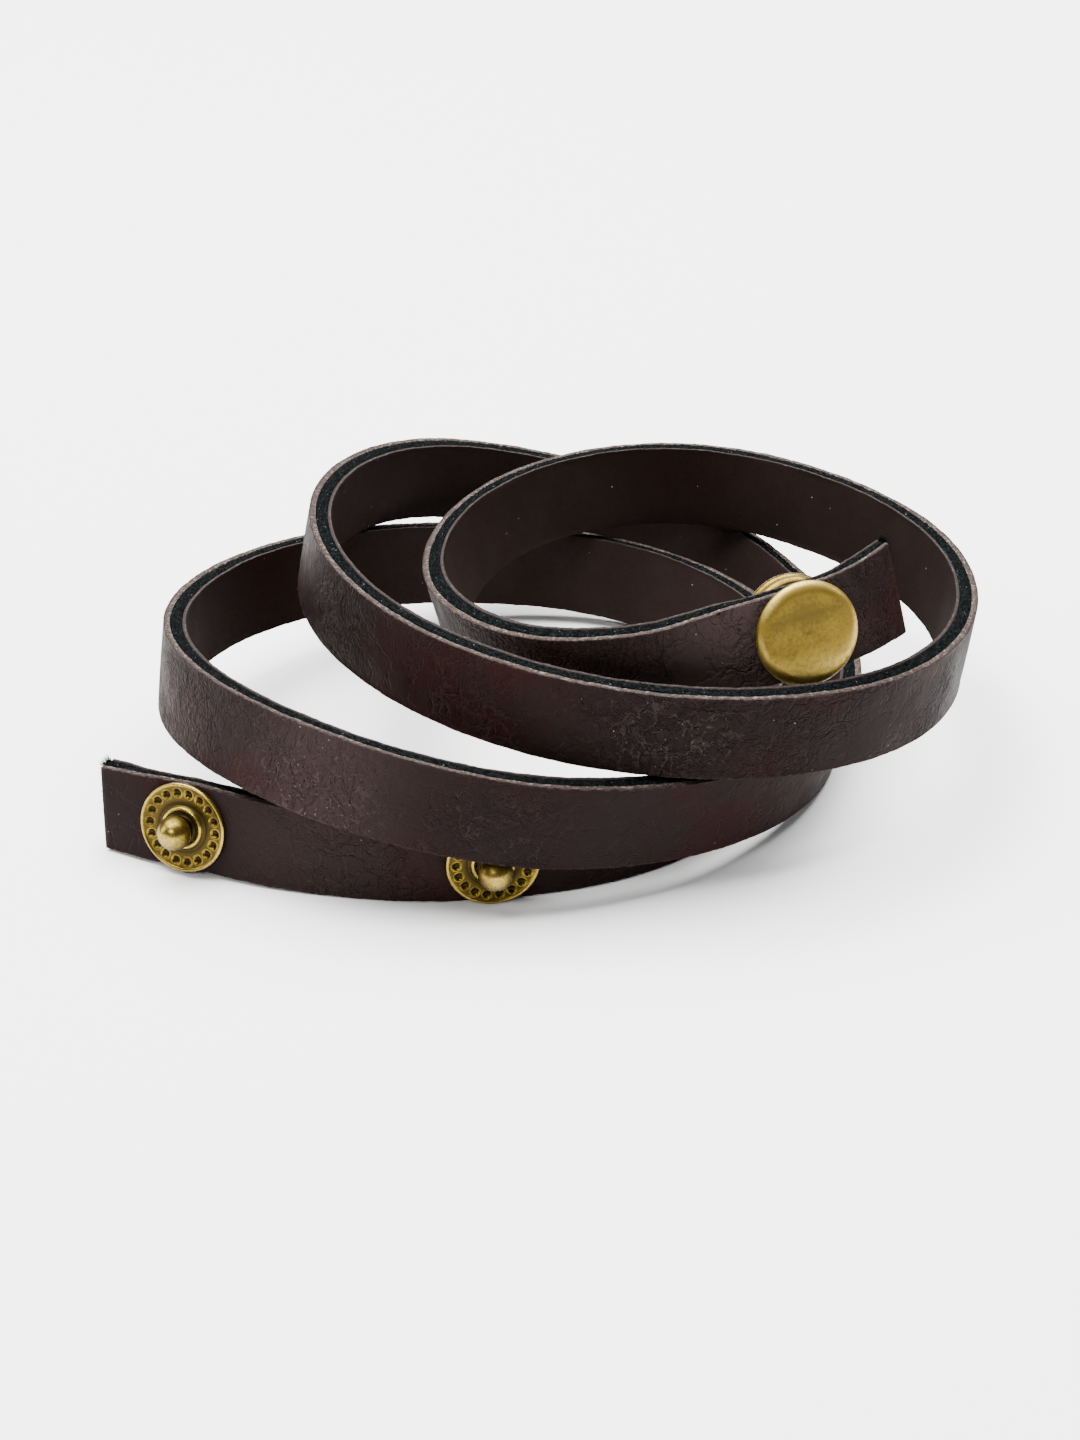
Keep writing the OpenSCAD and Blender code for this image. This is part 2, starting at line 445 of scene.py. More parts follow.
class Graph:
    """Short calls that add shader nodes and link them. Their values are plain or nodes' outputs."""

    def __init__(self, tree):
        self.tree = tree

    def feed(self, socket, value):
        """Links a node's output to an input, or sets the input to a plain value."""
        if isinstance(value, bpy.types.NodeSocket):
            self.tree.links.new(value, socket)
        else:
            socket.default_value = value

    def add(self, kind, *links, out=0, **settings):
        """Adds a node. links are (input, value) pairs; the node's output number out comes back."""
        node = self.tree.nodes.new("ShaderNode" + kind)
        for key, value in settings.items():
            setattr(node, key, value)
        for key, value in links:
            self.feed(node.inputs[key], value)
        return node.outputs[out]

    def group(self, name, *links):
        """Adds a shader group, which is built on its first use; its named outputs come back."""
        if name not in bpy.data.node_groups:
            GROUPS[name]()
        return self.add("Group", *links, node_tree=bpy.data.node_groups[name]).node.outputs

    def surface(self, **sockets):
        """Feeds the material's shader, with _ for a space in the names of its inputs."""
        shader = self.tree.nodes["Principled BSDF"]
        for key, value in sockets.items():
            self.feed(shader.inputs[key.replace("_", " ")], value)

    def attribute(self, name):
        """A value that the mesh carries at each point."""
        return self.add("Attribute", attribute_name=name, out=2)

    def math(self, operation, a, b=0.5, clamp=False):
        return self.add("Math", (0, a), (1, b), operation=operation, use_clamp=clamp)

    def times(self, a, b):
        return self.math("MULTIPLY", a, b)

    def plus(self, a, b, clamp=False):
        return self.math("ADD", a, b, clamp)

    def ramp(self, value, low, high, to_low=0.0, to_high=1.0, kind="SMOOTHSTEP"):
        """The value, clamped to the range from low to high and brought to that from to_low to to_high."""
        limits = ("From Min", low), ("From Max", high), ("To Min", to_low), ("To Max", to_high)
        return self.add("MapRange", ("Value", value), *limits, interpolation_type=kind)

    def mix(self, share, a, b):
        """Colour a with a share of colour b laid over it."""
        return self.add("Mix", (0, share), (6, a), (7, b), out=2, data_type="RGBA")

    def noise(self, vector, scale, detail=2.0, rough=0.5, warp=0.0):
        """A soft noise with its scale in spots to the metre."""
        shape = ("Scale", scale), ("Detail", detail), ("Roughness", rough), ("Distortion", warp)
        return self.add("TexNoise", ("Vector", vector), *shape)

    def shaken(self, vector, scale, detail, reach):
        """The vector, pushed about by a noise, so that a pattern on it loses its even outlines."""
        push = self.add("TexNoise", ("Vector", vector), ("Scale", scale), ("Detail", detail), out=1)
        push = self.add("VectorMath", (0, push), (1, (0.5, 0.5, 0.5)), operation="SUBTRACT")
        push = self.add("VectorMath", (0, push), ("Scale", reach), operation="SCALE")
        return self.add("VectorMath", (0, vector), (1, push))

    def stretched(self, vector, across):
        """The vector, scaled across the strap."""
        return self.add("Mapping", ("Vector", vector), ("Scale", (1.0, across, 1.0)))

    def bump(self, height, strength, distance, normal=None):
        """A normal bent by a height in shares of distance, on top of another normal."""
        links = [("Height", height), ("Strength", strength), ("Distance", distance)]
        if normal is not None:
            links.append(("Normal", normal))
        return self.add("Bump", *links)


def new_group(name, inputs, outputs):
    """A shader group with a vector and the named numbers going in, and the named numbers coming out.

    Its graph, its inputs and a call that sets an output come back.
    """
    tree = bpy.data.node_groups.new(name, "ShaderNodeTree")
    tree.interface.new_socket("Vector", in_out="INPUT", socket_type="NodeSocketVector")
    for key, value in inputs.items():
        socket = tree.interface.new_socket(key, in_out="INPUT", socket_type="NodeSocketFloat")
        socket.default_value = value
    for key in outputs:
        tree.interface.new_socket(key, in_out="OUTPUT", socket_type="NodeSocketFloat")
    first, last = tree.nodes.new("NodeGroupInput"), tree.nodes.new("NodeGroupOutput")

    def give(key, socket):
        tree.links.new(socket, last.inputs[key])

    return Graph(tree), first.outputs, give


def group_crackle():
    """Broken crease lines between cells of a given size."""
    inputs = {"Cell": 0.003, "Width": 0.05, "Cover": 0.5, "Shift": 0.0}
    g, put, give = new_group("Crackle", inputs, ["Lines"])
    shift = g.add("CombineXYZ", ("X", put["Shift"]), ("Y", put["Shift"]))
    moved = g.add("VectorMath", (0, put["Vector"]), (1, shift))
    place = g.shaken(moved, 420.0, 3.0, g.times(put["Cell"], 0.9))
    scale = g.math("DIVIDE", 1.0, put["Cell"])
    edge = g.add("TexVoronoi", ("Vector", place), ("Scale", scale), feature="DISTANCE_TO_EDGE")
    wide = g.times(put["Width"], g.ramp(g.noise(moved, 900.0), 0.3, 0.7, 0.5, 1.5))
    lines = g.ramp(edge, 0.0, wide, 1.0, 0.0)
    faded = g.plus(put["Cover"], 0.12)
    broken = g.ramp(g.noise(moved, 310.0, 3.0), put["Cover"], faded, 1.0, 0.0)
    give("Lines", g.times(lines, broken))


def group_wrinkles():
    """Fine wrinkles that run across the width where the strap is bent."""
    g, put, give = new_group("Bend wrinkles", {"Bend": 0.0}, ["Height", "Lines"])
    tall = g.stretched(put["Vector"], 0.22)
    folds = g.noise(tall, 680.0, 4.0, 0.6, 0.5)
    ridges = g.math("ABSOLUTE", g.math("SUBTRACT", folds, 0.5))
    lines = g.ramp(ridges, 0.0, 0.035, 1.0, 0.0)
    net = g.noise(g.stretched(put["Vector"], 0.5), 2100.0, 3.0, 0.6, 0.4)
    height = g.plus(g.times(folds, 0.9), g.times(net, 0.35))
    height = g.math("SUBTRACT", height, g.times(lines, 0.25))
    give("Height", g.times(height, put["Bend"]))
    give("Lines", g.times(lines, put["Bend"]))


def group_specks():
    """Sparse light specks, such as dust."""
    g, put, give = new_group("Specks", {"Scale": 1400.0, "Amount": 0.02}, ["Mask"])
    cell = g.add("TexVoronoi", ("Vector", put["Vector"]), ("Scale", put["Scale"])).node.outputs
    chance = g.add("SeparateColor", ("Color", cell["Color"])).node.outputs
    chosen = g.math("GREATER_THAN", chance["Red"], g.math("SUBTRACT", 1.0, put["Amount"]))
    size = g.times(chance["Green"], 0.3)
    dot = g.ramp(cell["Distance"], size, g.plus(size, 0.08), 1.0, 0.0)
    give("Mask", g.times(chosen, dot))


def group_cut_fibres():
    """Matted fibres of a cut edge: a mask of light tufts and a height."""
    g, put, give = new_group("Cut fibres", {"Scale": 1.0}, ["Tufts", "Height"])
    v = g.add("VectorMath", (0, put["Vector"]), ("Scale", put["Scale"]), operation="SCALE")
    coarse = g.noise(g.stretched(v, 1.3), 2100.0, 2.0, 0.6, 0.8)
    fine = g.noise(v, 5600.0, 2.0, 0.75)
    both = g.plus(g.times(coarse, 0.65), g.times(fine, 0.35))
    give("Tufts", g.ramp(both, 0.52, 0.57))
    give("Height", both)


def group_patina():
    """Cloudy dark patina of old brass, stronger in the hollows."""
    g, put, give = new_group("Patina", {"Wear": 0.5}, ["Dark", "Bright", "Grain"])
    cloud = g.noise(put["Vector"], 260.0, 4.0, 0.6, 0.2)
    spots = g.noise(put["Vector"], 2300.0, 4.0, 0.75, 0.1)
    mixed = g.plus(g.times(cloud, 0.5), g.times(spots, 0.5))
    hollow = g.ramp(put["Wear"], 0.0, 0.45, 1.0, 0.0)
    cover = g.plus(g.ramp(mixed, 0.38, 0.66), hollow, clamp=True)
    rubbed = g.times(g.ramp(put["Wear"], 0.6, 1.0), g.ramp(spots, 0.95, 0.2))
    give("Dark", g.times(cover, g.math("SUBTRACT", 1.0, rubbed)))
    give("Bright", rubbed)
    give("Grain", spots)


def new_material(name):
    """A material, and the graph that feeds its Principled shader."""
    material = bpy.data.materials.new("look_" + name)
    material.use_nodes = True
    return material, Graph(material.node_tree)


def outer_leather(name):
    """Dark brown leather: satin, crackled, wrinkled at the bends and rubbed at its edges, with painted
    light and shade.
    """
    material, g = new_material(name)
    uv = g.add("UVMap", uv_map="strap")
    bend, rim, patch, tone = [g.attribute(key) for key in ("bend", "rim", "patch", "tone")]

    # Brown with redder zones and greyer clouds, and with stretches of painted light and of painted shade
    leather = bpy.context.scene.bracelet_colours.leather
    cloud = g.noise(uv, 150.0, 4.0, 0.6)
    zone = g.noise(g.stretched(uv, 1.8), 34.0, 3.0, 0.55)
    colour = g.mix(g.ramp(zone, 0.44, 0.62), leather, RED_BROWN)
    colour = g.mix(g.ramp(cloud, 0.35, 0.8, 0.0, 0.55), colour, GREY_BROWN)
    colour = g.mix(g.ramp(tone, 0.0, 1.0, kind="LINEAR"), colour, PAINTED_LIGHT_BROWN)
    colour = g.mix(g.ramp(tone, 0.0, -1.0, kind="LINEAR"), colour, PAINTED_SHADE_BROWN)

    # Large crackle all over, small crackle where the leather is worn
    where = g.ramp(g.noise(uv, 45.0, 2.0), 0.46, 0.62)
    worn = g.math("MAXIMUM", where, patch)
    large = g.group("Crackle", ("Vector", uv), ("Cell", 0.0046), ("Width", 0.048), ("Cover", 0.50))
    finer = ("Cell", 0.0019), ("Width", 0.075), ("Cover", 0.47), ("Shift", 0.31)
    small = g.group("Crackle", ("Vector", uv), *finer)
    large_lines = g.times(large["Lines"], g.ramp(worn, 0.0, 0.7, 0.3, 0.9))
    lines = g.math("MAXIMUM", large_lines, g.times(small["Lines"], worn))
    # The crackle lines are paler, partly from wear and partly as a painted highlight along their edges
    pale_share = g.plus(g.times(patch, 0.22), 0.08)
    colour = g.mix(g.times(lines, pale_share), colour, PALE_WEAR_AND_HIGHLIGHT)

    # Abraded spots and line stretches in the patches, painted shade in the fold lines, rubbed rims and
    # dust
    ragged = g.shaken(uv, 2200.0, 2.0, 0.0005)
    spots = g.group("Specks", ("Vector", ragged), ("Scale", 3000.0), ("Amount", 0.11))
    spots = g.times(spots["Mask"], g.ramp(patch, 0.25, 0.9))
    frayed = g.times(g.times(lines, patch), g.ramp(g.noise(uv, 1500.0, 2.0), 0.62, 0.7))
    colour = g.mix(g.times(g.math("MAXIMUM", spots, frayed), 0.32), colour, ABRADED)
    folds = g.group("Bend wrinkles", ("Vector", uv), ("Bend", bend))
    # Painted shade in the fold lines of the bends
    colour = g.mix(g.times(folds["Lines"], 0.65), colour, PAINTED_SHADE_BROWN)
    rubbed = g.times(g.ramp(rim, 0.55, 1.0), g.ramp(g.noise(uv, 1300.0, 3.0), 0.4, 0.62))
    colour = g.mix(g.times(rubbed, 0.3), colour, PALE_WEAR_AND_HIGHLIGHT)
    dust = g.group("Specks", ("Vector", uv), ("Scale", 3600.0), ("Amount", 0.002))
    colour = g.mix(g.times(dust["Mask"], 0.45), colour, DUST)

    # Relief: grain, crackle, folds, crumpled patches and slow waves
    normal = g.bump(g.noise(uv, 3800.0, 3.0, 0.65), 0.22, 0.00006)
    normal = g.bump(lines, 1.0, -0.0002, normal)
    normal = g.bump(folds["Height"], 0.7, 0.00045, normal)
    crumple = g.math("ABSOLUTE", g.math("SUBTRACT", g.noise(uv, 330.0, 4.0, 0.62, 0.8), 0.5))
    crumple_share = g.math("MAXIMUM", patch, g.times(where, 0.35))
    normal = g.bump(g.times(g.ramp(crumple, 0.0, 0.12), crumple_share), 0.8, 0.0005, normal)
    normal = g.bump(g.noise(uv, 210.0, 3.0, 0.6), 0.5, 0.0005, normal)
    rough = g.plus(g.ramp(cloud, 0.3, 0.7, 0.46, 0.58), g.times(lines, 0.12))
    g.surface(Base_Color=colour, Roughness=rough, Normal=normal, Specular_IOR_Level=0.03)
    return material


def lining_leather(name):
    """Smooth matte lining with a fine grain."""
    material, g = new_material(name)
    uv = g.add("UVMap", uv_map="strap")
    cloud = g.noise(uv, 120.0, 4.0, 0.6)
    grain = g.noise(uv, 3000.0, 3.0, 0.6)
    lining = bpy.context.scene.bracelet_colours.lining
    colour = g.mix(g.ramp(cloud, 0.35, 0.7, 0.0, 0.5), lining, LINING_LIGHT)
    # Painted shade on the lining where the tone is below zero
    colour = g.mix(g.ramp(g.attribute("tone"), 0.0, -0.6, kind="LINEAR"), colour, PAINTED_SHADE_BROWN)
    dust = g.group("Specks", ("Vector", uv), ("Scale", 3000.0), ("Amount", 0.003))
    colour = g.mix(g.times(dust["Mask"], 0.4), colour, DUST)
    rough = g.ramp(grain, 0.3, 0.7, 0.66, 0.78)
    normal = g.bump(grain, 0.3, 0.00008)
    normal = g.bump(g.noise(g.stretched(uv, 0.4), 260.0, 3.0), 0.35, 0.0003, normal)
    g.surface(Base_Color=colour, Roughness=rough, Normal=normal, Specular_IOR_Level=0.015)
    return material


def cut_edge(name, pale):
    """Fibrous cut edge of a leather layer, darker towards the strap's outer face."""
    material, g = new_material(name)
    uv = g.add("UVMap", uv_map="strap")
    fibres = g.group("Cut fibres", ("Vector", uv), ("Scale", 1.0))
    inward = g.attribute("inward")
    drift = g.ramp(g.noise(uv, 520.0, 3.0), 0.35, 0.65, 0.3, 1.0)
    drift = g.times(drift, g.ramp(inward, 0.0, 0.9, 0.25, 1.0))
    ground = g.mix(g.ramp(inward, 0.0, 0.8, 0.02, 0.09), CUT_DARK, pale)
    colour = g.mix(g.times(fibres["Tufts"], drift), ground, pale)
    normal = g.bump(fibres["Height"], 0.9, 0.00012)
    g.surface(Base_Color=colour, Roughness=0.85, Normal=normal, Specular_IOR_Level=0.15)
    return material


def felt(name):
    """Black matted felt with lighter fibres and dust."""
    material, g = new_material(name)
    uv = g.add("UVMap", uv_map="strap")
    fibres = g.group("Cut fibres", ("Vector", uv), ("Scale", 0.8))
    strands = g.ramp(g.noise(g.stretched(uv, 2.2), 3000.0, 3.0, 0.8, 1.5), 0.56, 0.66)
    dust = g.group("Specks", ("Vector", uv), ("Scale", 4200.0), ("Amount", 0.05))
    felt_colour = bpy.context.scene.bracelet_colours.felt
    colour = g.mix(g.times(fibres["Tufts"], 0.3), felt_colour, FELT_LIGHT)
    colour = g.mix(g.times(strands, 0.75), colour, LINT)
    colour = g.mix(g.times(dust["Mask"], 0.5), colour, FELT_DUST)
    normal = g.bump(fibres["Height"], 1.0, 0.0002)
    g.surface(Base_Color=colour, Roughness=0.95, Normal=normal, Specular_IOR_Level=0.02)
    return material


def loose_fibre(name):
    """Single fibres of the felt."""
    material, g = new_material(name)
    spots = g.noise(g.add("TexCoord", out=3), 2500.0, 2.0)
    felt_colour = bpy.context.scene.bracelet_colours.felt
    colour = g.mix(g.ramp(spots, 0.5, 0.7, 0.0, 0.4), felt_colour, FELT_LIGHT)
    g.surface(Base_Color=colour, Roughness=0.9, Specular_IOR_Level=0.04)
    return material


def old_brass(name, dark_share, rough_low, rough_high, metal_dark):
    """Antique brass: cloudy dark patina, darker hollows and bright rubbed edges."""
    material, g = new_material(name)
    place = g.add("TexCoord", out=3)
    wear = g.attribute("wear")
    patina = g.group("Patina", ("Vector", place), ("Wear", wear))
    brass = bpy.context.scene.bracelet_colours.brass
    colour = g.mix(g.times(patina["Dark"], dark_share), brass, BRASS_DARK)
    colour = g.mix(g.ramp(wear, 0.0, 0.22, 0.85, 0.0), colour, BRASS_BLACK)
    colour = g.mix(g.times(patina["Bright"], 0.75), colour, BRASS_BRIGHT)
    rough = g.ramp(patina["Dark"], 0.0, 1.0, rough_low, rough_high)
    rough = g.plus(rough, g.times(patina["Bright"], -0.06))
    metal = g.ramp(patina["Dark"], 0.0, 1.0, 0.95, metal_dark)
    normal = g.bump(g.noise(place, 5200.0, 3.0, 0.7), 0.08, 0.00004)
    normal = g.bump(patina["Grain"], 0.12, 0.00006, normal)
    normal = g.bump(g.noise(place, 260.0, 2.0), 0.35, 0.0002, normal)
    g.surface(Base_Color=colour, Metallic=metal, Roughness=rough, Normal=normal, Specular_IOR_Level=0.1)
    return material


def studio_floor(name):
    """Matte pale paper."""
    material, g = new_material(name)
    tone = g.noise(g.add("TexCoord", out=3), 3.0, 2.0)
    colour = g.mix(g.ramp(tone, 0.3, 0.7, 0.0, 0.3), PAPER, PAPER_SHADE)
    g.surface(Base_Color=colour, Roughness=0.9, Specular_IOR_Level=0.1)
    return material


def get_material(name):
    """A material by its name, made on its first use."""
    material = bpy.data.materials.get("look_" + name)
    if material is None:
        make, *values = MATERIALS[name]
        material = make(name, *values)
    return material


GROUPS = {
    "Crackle": group_crackle,
    "Bend wrinkles": group_wrinkles,
    "Specks": group_specks,
    "Cut fibres": group_cut_fibres,
    "Patina": group_patina,
}

# How each material is made. Values of old_brass: share of dark patina, roughness where the brass
# is clean and where it is dark, and metallic share where it is dark
MATERIALS = {
    "outer_leather": (outer_leather,),
    "lining_leather": (lining_leather,),
    "outer_cut": (cut_edge, CUT_PALE),
    "lining_cut": (cut_edge, CUT_GREY),
    "felt": (felt,),
    "loose_fibre": (loose_fibre,),
    "cap_brass": (old_brass, 0.75, 0.46, 0.54, 0.55),
    "socket_brass": (old_brass, 0.8, 0.28, 0.42, 0.8),
    "stud_brass": (old_brass, 1.15, 0.26, 0.40, 0.85),
    "back_brass": (old_brass, 1.0, 0.36, 0.5, 0.8),
    "studio_floor": (studio_floor,),
}


class Route:
    """The strap's route as a smooth curve, with the directions of the strap at any place."""

    def __init__(self, strap):
        self.rows = np.array(ROUTE, float)
        self.strap = strap
        self.thickness = strap.outer + strap.core + strap.lining + 2 * strap.gap

    def rows_at(self, v):
        """Smoothed rows at the places v, where v runs from 0 to SPANS."""
        i = np.clip(np.floor(v), 0, SPANS - 1).astype(int)
        t = v - i
        weights = np.stack([
            (1 - t) ** 3,
            3 * t ** 3 - 6 * t ** 2 + 4,
            -3 * t ** 3 + 3 * t ** 2 + 3 * t + 1,
            t ** 3,
        ], 1) / 6
        near = self.rows[i[:, None] + np.arange(4)]
        return (weights[:, :, None] * near).sum(1)

    def middle(self, v):
        """Middle of the outer face."""
        row = self.rows_at(v)
        lean = np.radians(row[:, 3])
        half = self.strap.width / 2
        z = row[:, 2] + half * np.cos(lean) + np.maximum(0, self.thickness * np.sin(lean))
        return np.stack([row[:, 0] - CENTRE[0], row[:, 1] - CENTRE[1], z], 1)

    def frames(self, v):
        """Middle, and the directions along the strap, out of its outer face and up its width."""
        v = np.atleast_1d(np.asarray(v, float))
        along = self.middle(v + TANGENT_STEP) - self.middle(v - TANGENT_STEP)
        along /= np.linalg.norm(along, axis=1)[:, None]
        heading = np.arctan2(along[:, 1], along[:, 0])
        lean = np.radians(self.rows_at(v)[:, 3])[:, None]
        level = np.stack([np.sin(heading), -np.cos(heading), np.zeros(len(v))], 1)
        out = np.cos(lean) * level + np.sin(lean) * np.cross(level, along)
        return self.middle(v), along, out, np.cross(out, along)

    def places(self, step):
        """Places that are evenly spaced along the strap, with their distances from the start."""
        fine = np.linspace(0, SPANS, SPANS * LENGTH_STEPS + 1)
        gaps = np.linalg.norm(np.diff(self.middle(fine), axis=0), axis=1)
        run = np.concatenate([[0], np.cumsum(gaps)])
        count = int(run[-1] / step)
        s = np.linspace(0, run[-1], count + 1)
        return np.interp(s, run, fine), s

    def bend(self, v):
        """How far the strap is bent, from 0 where it is nearly straight to 1 at the tight turns."""
        before, after = v - BEND_STEP, v + BEND_STEP
        turn = np.linalg.norm(self.frames(after)[1] - self.frames(before)[1], axis=1)
        run = np.linalg.norm(self.middle(after) - self.middle(before), axis=1)
        return np.clip((turn / run - WRINKLE_START) / WRINKLE_RISE, 0, 1)

    def core_at(self, v):
        """Thickness of the core, which the fittings press together."""
        middle = self.middle(v)
        press = np.zeros(len(v))
        for at in (STUD_1_AT, STUD_2_AT, SNAP_AT):
            away = np.linalg.norm(middle - self.middle(np.array([at])), axis=1)
            t = np.clip((away - self.strap.pinch_flat) / self.strap.pinch_fade, 0, 1)
            same_turn = np.abs(v - at) < SAME_TURN
            press = np.maximum(press, np.where(same_turn, (1 - t) ** 2 * (1 + 2 * t), 0))
        return self.strap.core * (1 - self.strap.pinch * press)

    def fitting(self, at, behind=False):
        """Matrix of a fitting: X along the strap, Y up its width, Z out of the face it sits on."""
        seat, along, out, up = (a[0] for a in self.frames(at))
        if at == SNAP_AT:
            seat = seat + SEAT_OUT * out
        if behind:
            core = self.core_at(np.array([at], float))[0]
            lining_face = self.strap.outer + core + self.strap.lining + 2 * self.strap.gap
            seat = seat - (lining_face + SEAT_IN) * out
            out, up = -out, -up
        axes = Matrix((along, up, out)).transposed().to_4x4()
        return Matrix.Translation(Vector(seat * MM)) @ axes @ Matrix.Scale(MM, 4)


def waves(s, table, seed):
    """Sum of waves of the given lengths and heights along s. The seed keeps two sums apart."""
    total = np.zeros_like(s)
    for k, (length, height) in enumerate(table):
        shift = (seed * 1.7 + k * 2.3) % WAVE_TURN
        drift = 0.7 * np.sin(s / length * 1.9 + seed)
        total += height * np.sin(WAVE_TURN * s / length + shift + drift)
    return total


def add_piece(name, verts, faces, materials, slots=None, coords=None, values=None):
    """A mesh object that rides on the body, from corner points in m, faces and values at the points."""
    mesh = bpy.data.meshes.new(name)
    mesh.from_pydata(verts.tolist(), [], faces)
    for material in materials:
        mesh.materials.append(material)
    if slots is not None:
        mesh.polygons.foreach_set("material_index", np.asarray(slots, np.int32))
    if coords is not None:
        mesh.uv_layers.new(name="strap").data.foreach_set("uv", np.asarray(coords, np.float32).ravel())
    for key, data in (values or {}).items():
        numbers = np.asarray(data, np.float32).ravel()
        mesh.attributes.new(key, "FLOAT", "POINT").data.foreach_set("value", numbers)
    mesh.polygons.foreach_set("use_smooth", np.ones(len(mesh.polygons), bool))
    mesh.update()
    piece = bpy.data.objects.new(name, mesh)
    bpy.context.scene.collection.objects.link(piece)
    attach(piece, BODY)
    return piece


def swept(name, route, v, s, section, materials, slot_of, values):
    """A closed band through all sections, with its ends shut.

    section has, for each place, points in mm: up the width, depth from the outer face, shift along.
    slot_of has a material slot for each point of a section.
    """
    middle, along, out, up = route.frames(v)
    n, m = section.shape[:2]
    points = middle[:, None] + section[..., :1] * up[:, None] - section[..., 1:2] * out[:, None]
    points = points + section[..., 2:] * along[:, None]
    verts = points.reshape(-1, 3) * MM
    i, j = np.meshgrid(np.arange(n - 1), np.arange(m), indexing="ij")
    k = (j + 1) % m
    quads = np.stack([i * m + j, (i + 1) * m + j, (i + 1) * m + k, i * m + k], -1)
    faces = quads.reshape(-1, 4).tolist()
    faces.append(list(range(m)))
    faces.append(list(range(n * m - 1, (n - 1) * m - 1, -1)))
    loop = np.concatenate([section[n // 2, :, :2], section[n // 2, :1, :2]])
    around = np.concatenate([[0], np.cumsum(np.linalg.norm(np.diff(loop, axis=0), axis=1))])
    coords = np.stack([
        np.stack([s[i], around[j]], -1),
        np.stack([s[i + 1], around[j]], -1),
        np.stack([s[i + 1], around[j + 1]], -1),
        np.stack([s[i], around[j + 1]], -1),
    ], 2).reshape(-1, 2)
    first_end, last_end = section[0, :, :2] + END_COORDS, section[-1, ::-1, :2] + END_COORDS
    coords = np.concatenate([coords, first_end, last_end]) * MM
    slots = np.append(np.tile(slot_of, n - 1), [1, 1])
    return add_piece(name, verts, faces, materials, slots, coords, values)


def across(edge, inner, count):
    """Heights from the lower to the upper edge, evenly spaced, for each place along the strap."""
    t = np.linspace(0, 1, count)
    low, high = -edge[0] + inner, edge[1] - inner
    return low[:, None] * (1 - t) + high[:, None] * t


def leather_section(v, s, route, near, thick, seed, face_out, face_points):
    """Sections of a leather layer: a wavy face with rounded corners, and rough cut edges.

    The points' heights, their depths and their material slots come back. near is the depth where
    the layer starts, and face_out says that its face looks out of the strap.
    """
    rng = np.random.default_rng(seed)
    half = route.strap.width / 2 - EDGE_INSET
    edge = half + waves(s, EDGE_WAVES, seed), half + waves(s, EDGE_WAVES, seed + 3)
    n = len(s)
    one = np.ones(n)

    # The waves fade where a fitting presses the strap
    calm = route.core_at(v) / route.strap.core
    calm = np.clip((calm - calm.min()) / (1 - calm.min()), 0, 1)[:, None]
    face = across(edge, FACE_MARGIN, face_points)
    high = face / half
    relief = waves(s, FACE_WAVES, seed)[:, None] + waves(s, FACE_WAVES, seed + 5)[:, None] * high
    relief = np.minimum(relief * calm * FACE_WAVE_SHARE, FACE_WAVE_TOP)
    face_depth = -relief + FACE_CROWN * (high ** 2) * calm

    # Rounded corner and cut edge. Columns: how far a row stands in from the edge, its depth
    rows = [
        (0.035, 0.03),
        (0.005, 0.11),
        (0, 0.3 * thick),
        (0, 0.5 * thick),
        (0, 0.7 * thick),
        (0.01, thick - 0.05),
        (0.04, thick),
    ]

    def rough():
        return rng.normal(0, EDGE_ROUGH, n)

    top = [(edge[1] - inset + rough(), one * depth) for inset, depth in rows]
    low = [(-edge[0] + inset + rough(), one * depth) for inset, depth in reversed(rows)]
    back = [(one * half * t, one * thick) for t in (0.6, 0, -0.6)]
    rim = top + back + low
    up = np.stack([face[:, k] for k in range(face_points)] + [point[0] for point in rim], 1)
    depth = np.stack([face_depth[:, k] for k in range(face_points)] + [point[1] for point in rim], 1)
    slot_of = np.ones(up.shape[1], int)
    slot_of[:face_points + 1] = 0
    slot_of[-2:] = 0
    if not face_out:
        up, depth = up[:, ::-1], thick - depth[:, ::-1]
        slot_of = np.roll(slot_of[::-1], -1)
    return up, near[:, None] + depth, slot_of


def skewed(up, s, route):
    """Shift along the strap that cuts the snap end on the skew, for points at the heights up."""
    share = np.clip((s - (s[-1] - SKEW_REACH)) / SKEW_REACH, 0, 1)[:, None]
    return -END_SKEW * share * np.clip(0.5 - up / route.strap.width, 0, 1)


def build_leather(name, route, near, thick, seed, face_out, face_points, materials):
    """One leather layer of the strap, with the values that its finishes need at each point."""
    v, s = route.places(route.strap.step)
    start = near(v)
    up, depth, slot_of = leather_section(v, s, route, start, thick, seed, face_out, face_points)
    section = np.stack([up, depth, skewed(up, s, route)], -1)
    rim = np.clip((np.abs(up) - route.strap.width / 2 + RIM_WIDTH) / RIM_FADE, 0, 1)
    inward = np.clip((depth - start[:, None]) / thick, 0, 1)
    patch = np.zeros_like(up)
    for at, high, radius, strength in PATCHES:
        away = np.hypot(s[:, None] - np.interp(at, v, s), up - high)
        patch = np.maximum(patch, strength * np.exp(-(away / radius) ** 2))
    # Painted light and shade along the strap, carried to the shaders as the tone
    tone = np.zeros(len(s))
    for at, radius, strength in PAINTED_LIGHT_AND_SHADE:
        tone += strength * np.exp(-((s - np.interp(at, v, s)) / radius) ** 2)
    bend, tone = np.repeat(route.bend(v), up.shape[1]), np.repeat(tone, up.shape[1])
    values = {"bend": bend, "rim": rim, "inward": inward, "patch": patch, "tone": tone}
    return swept(name, route, v, s, section, materials, slot_of, values)


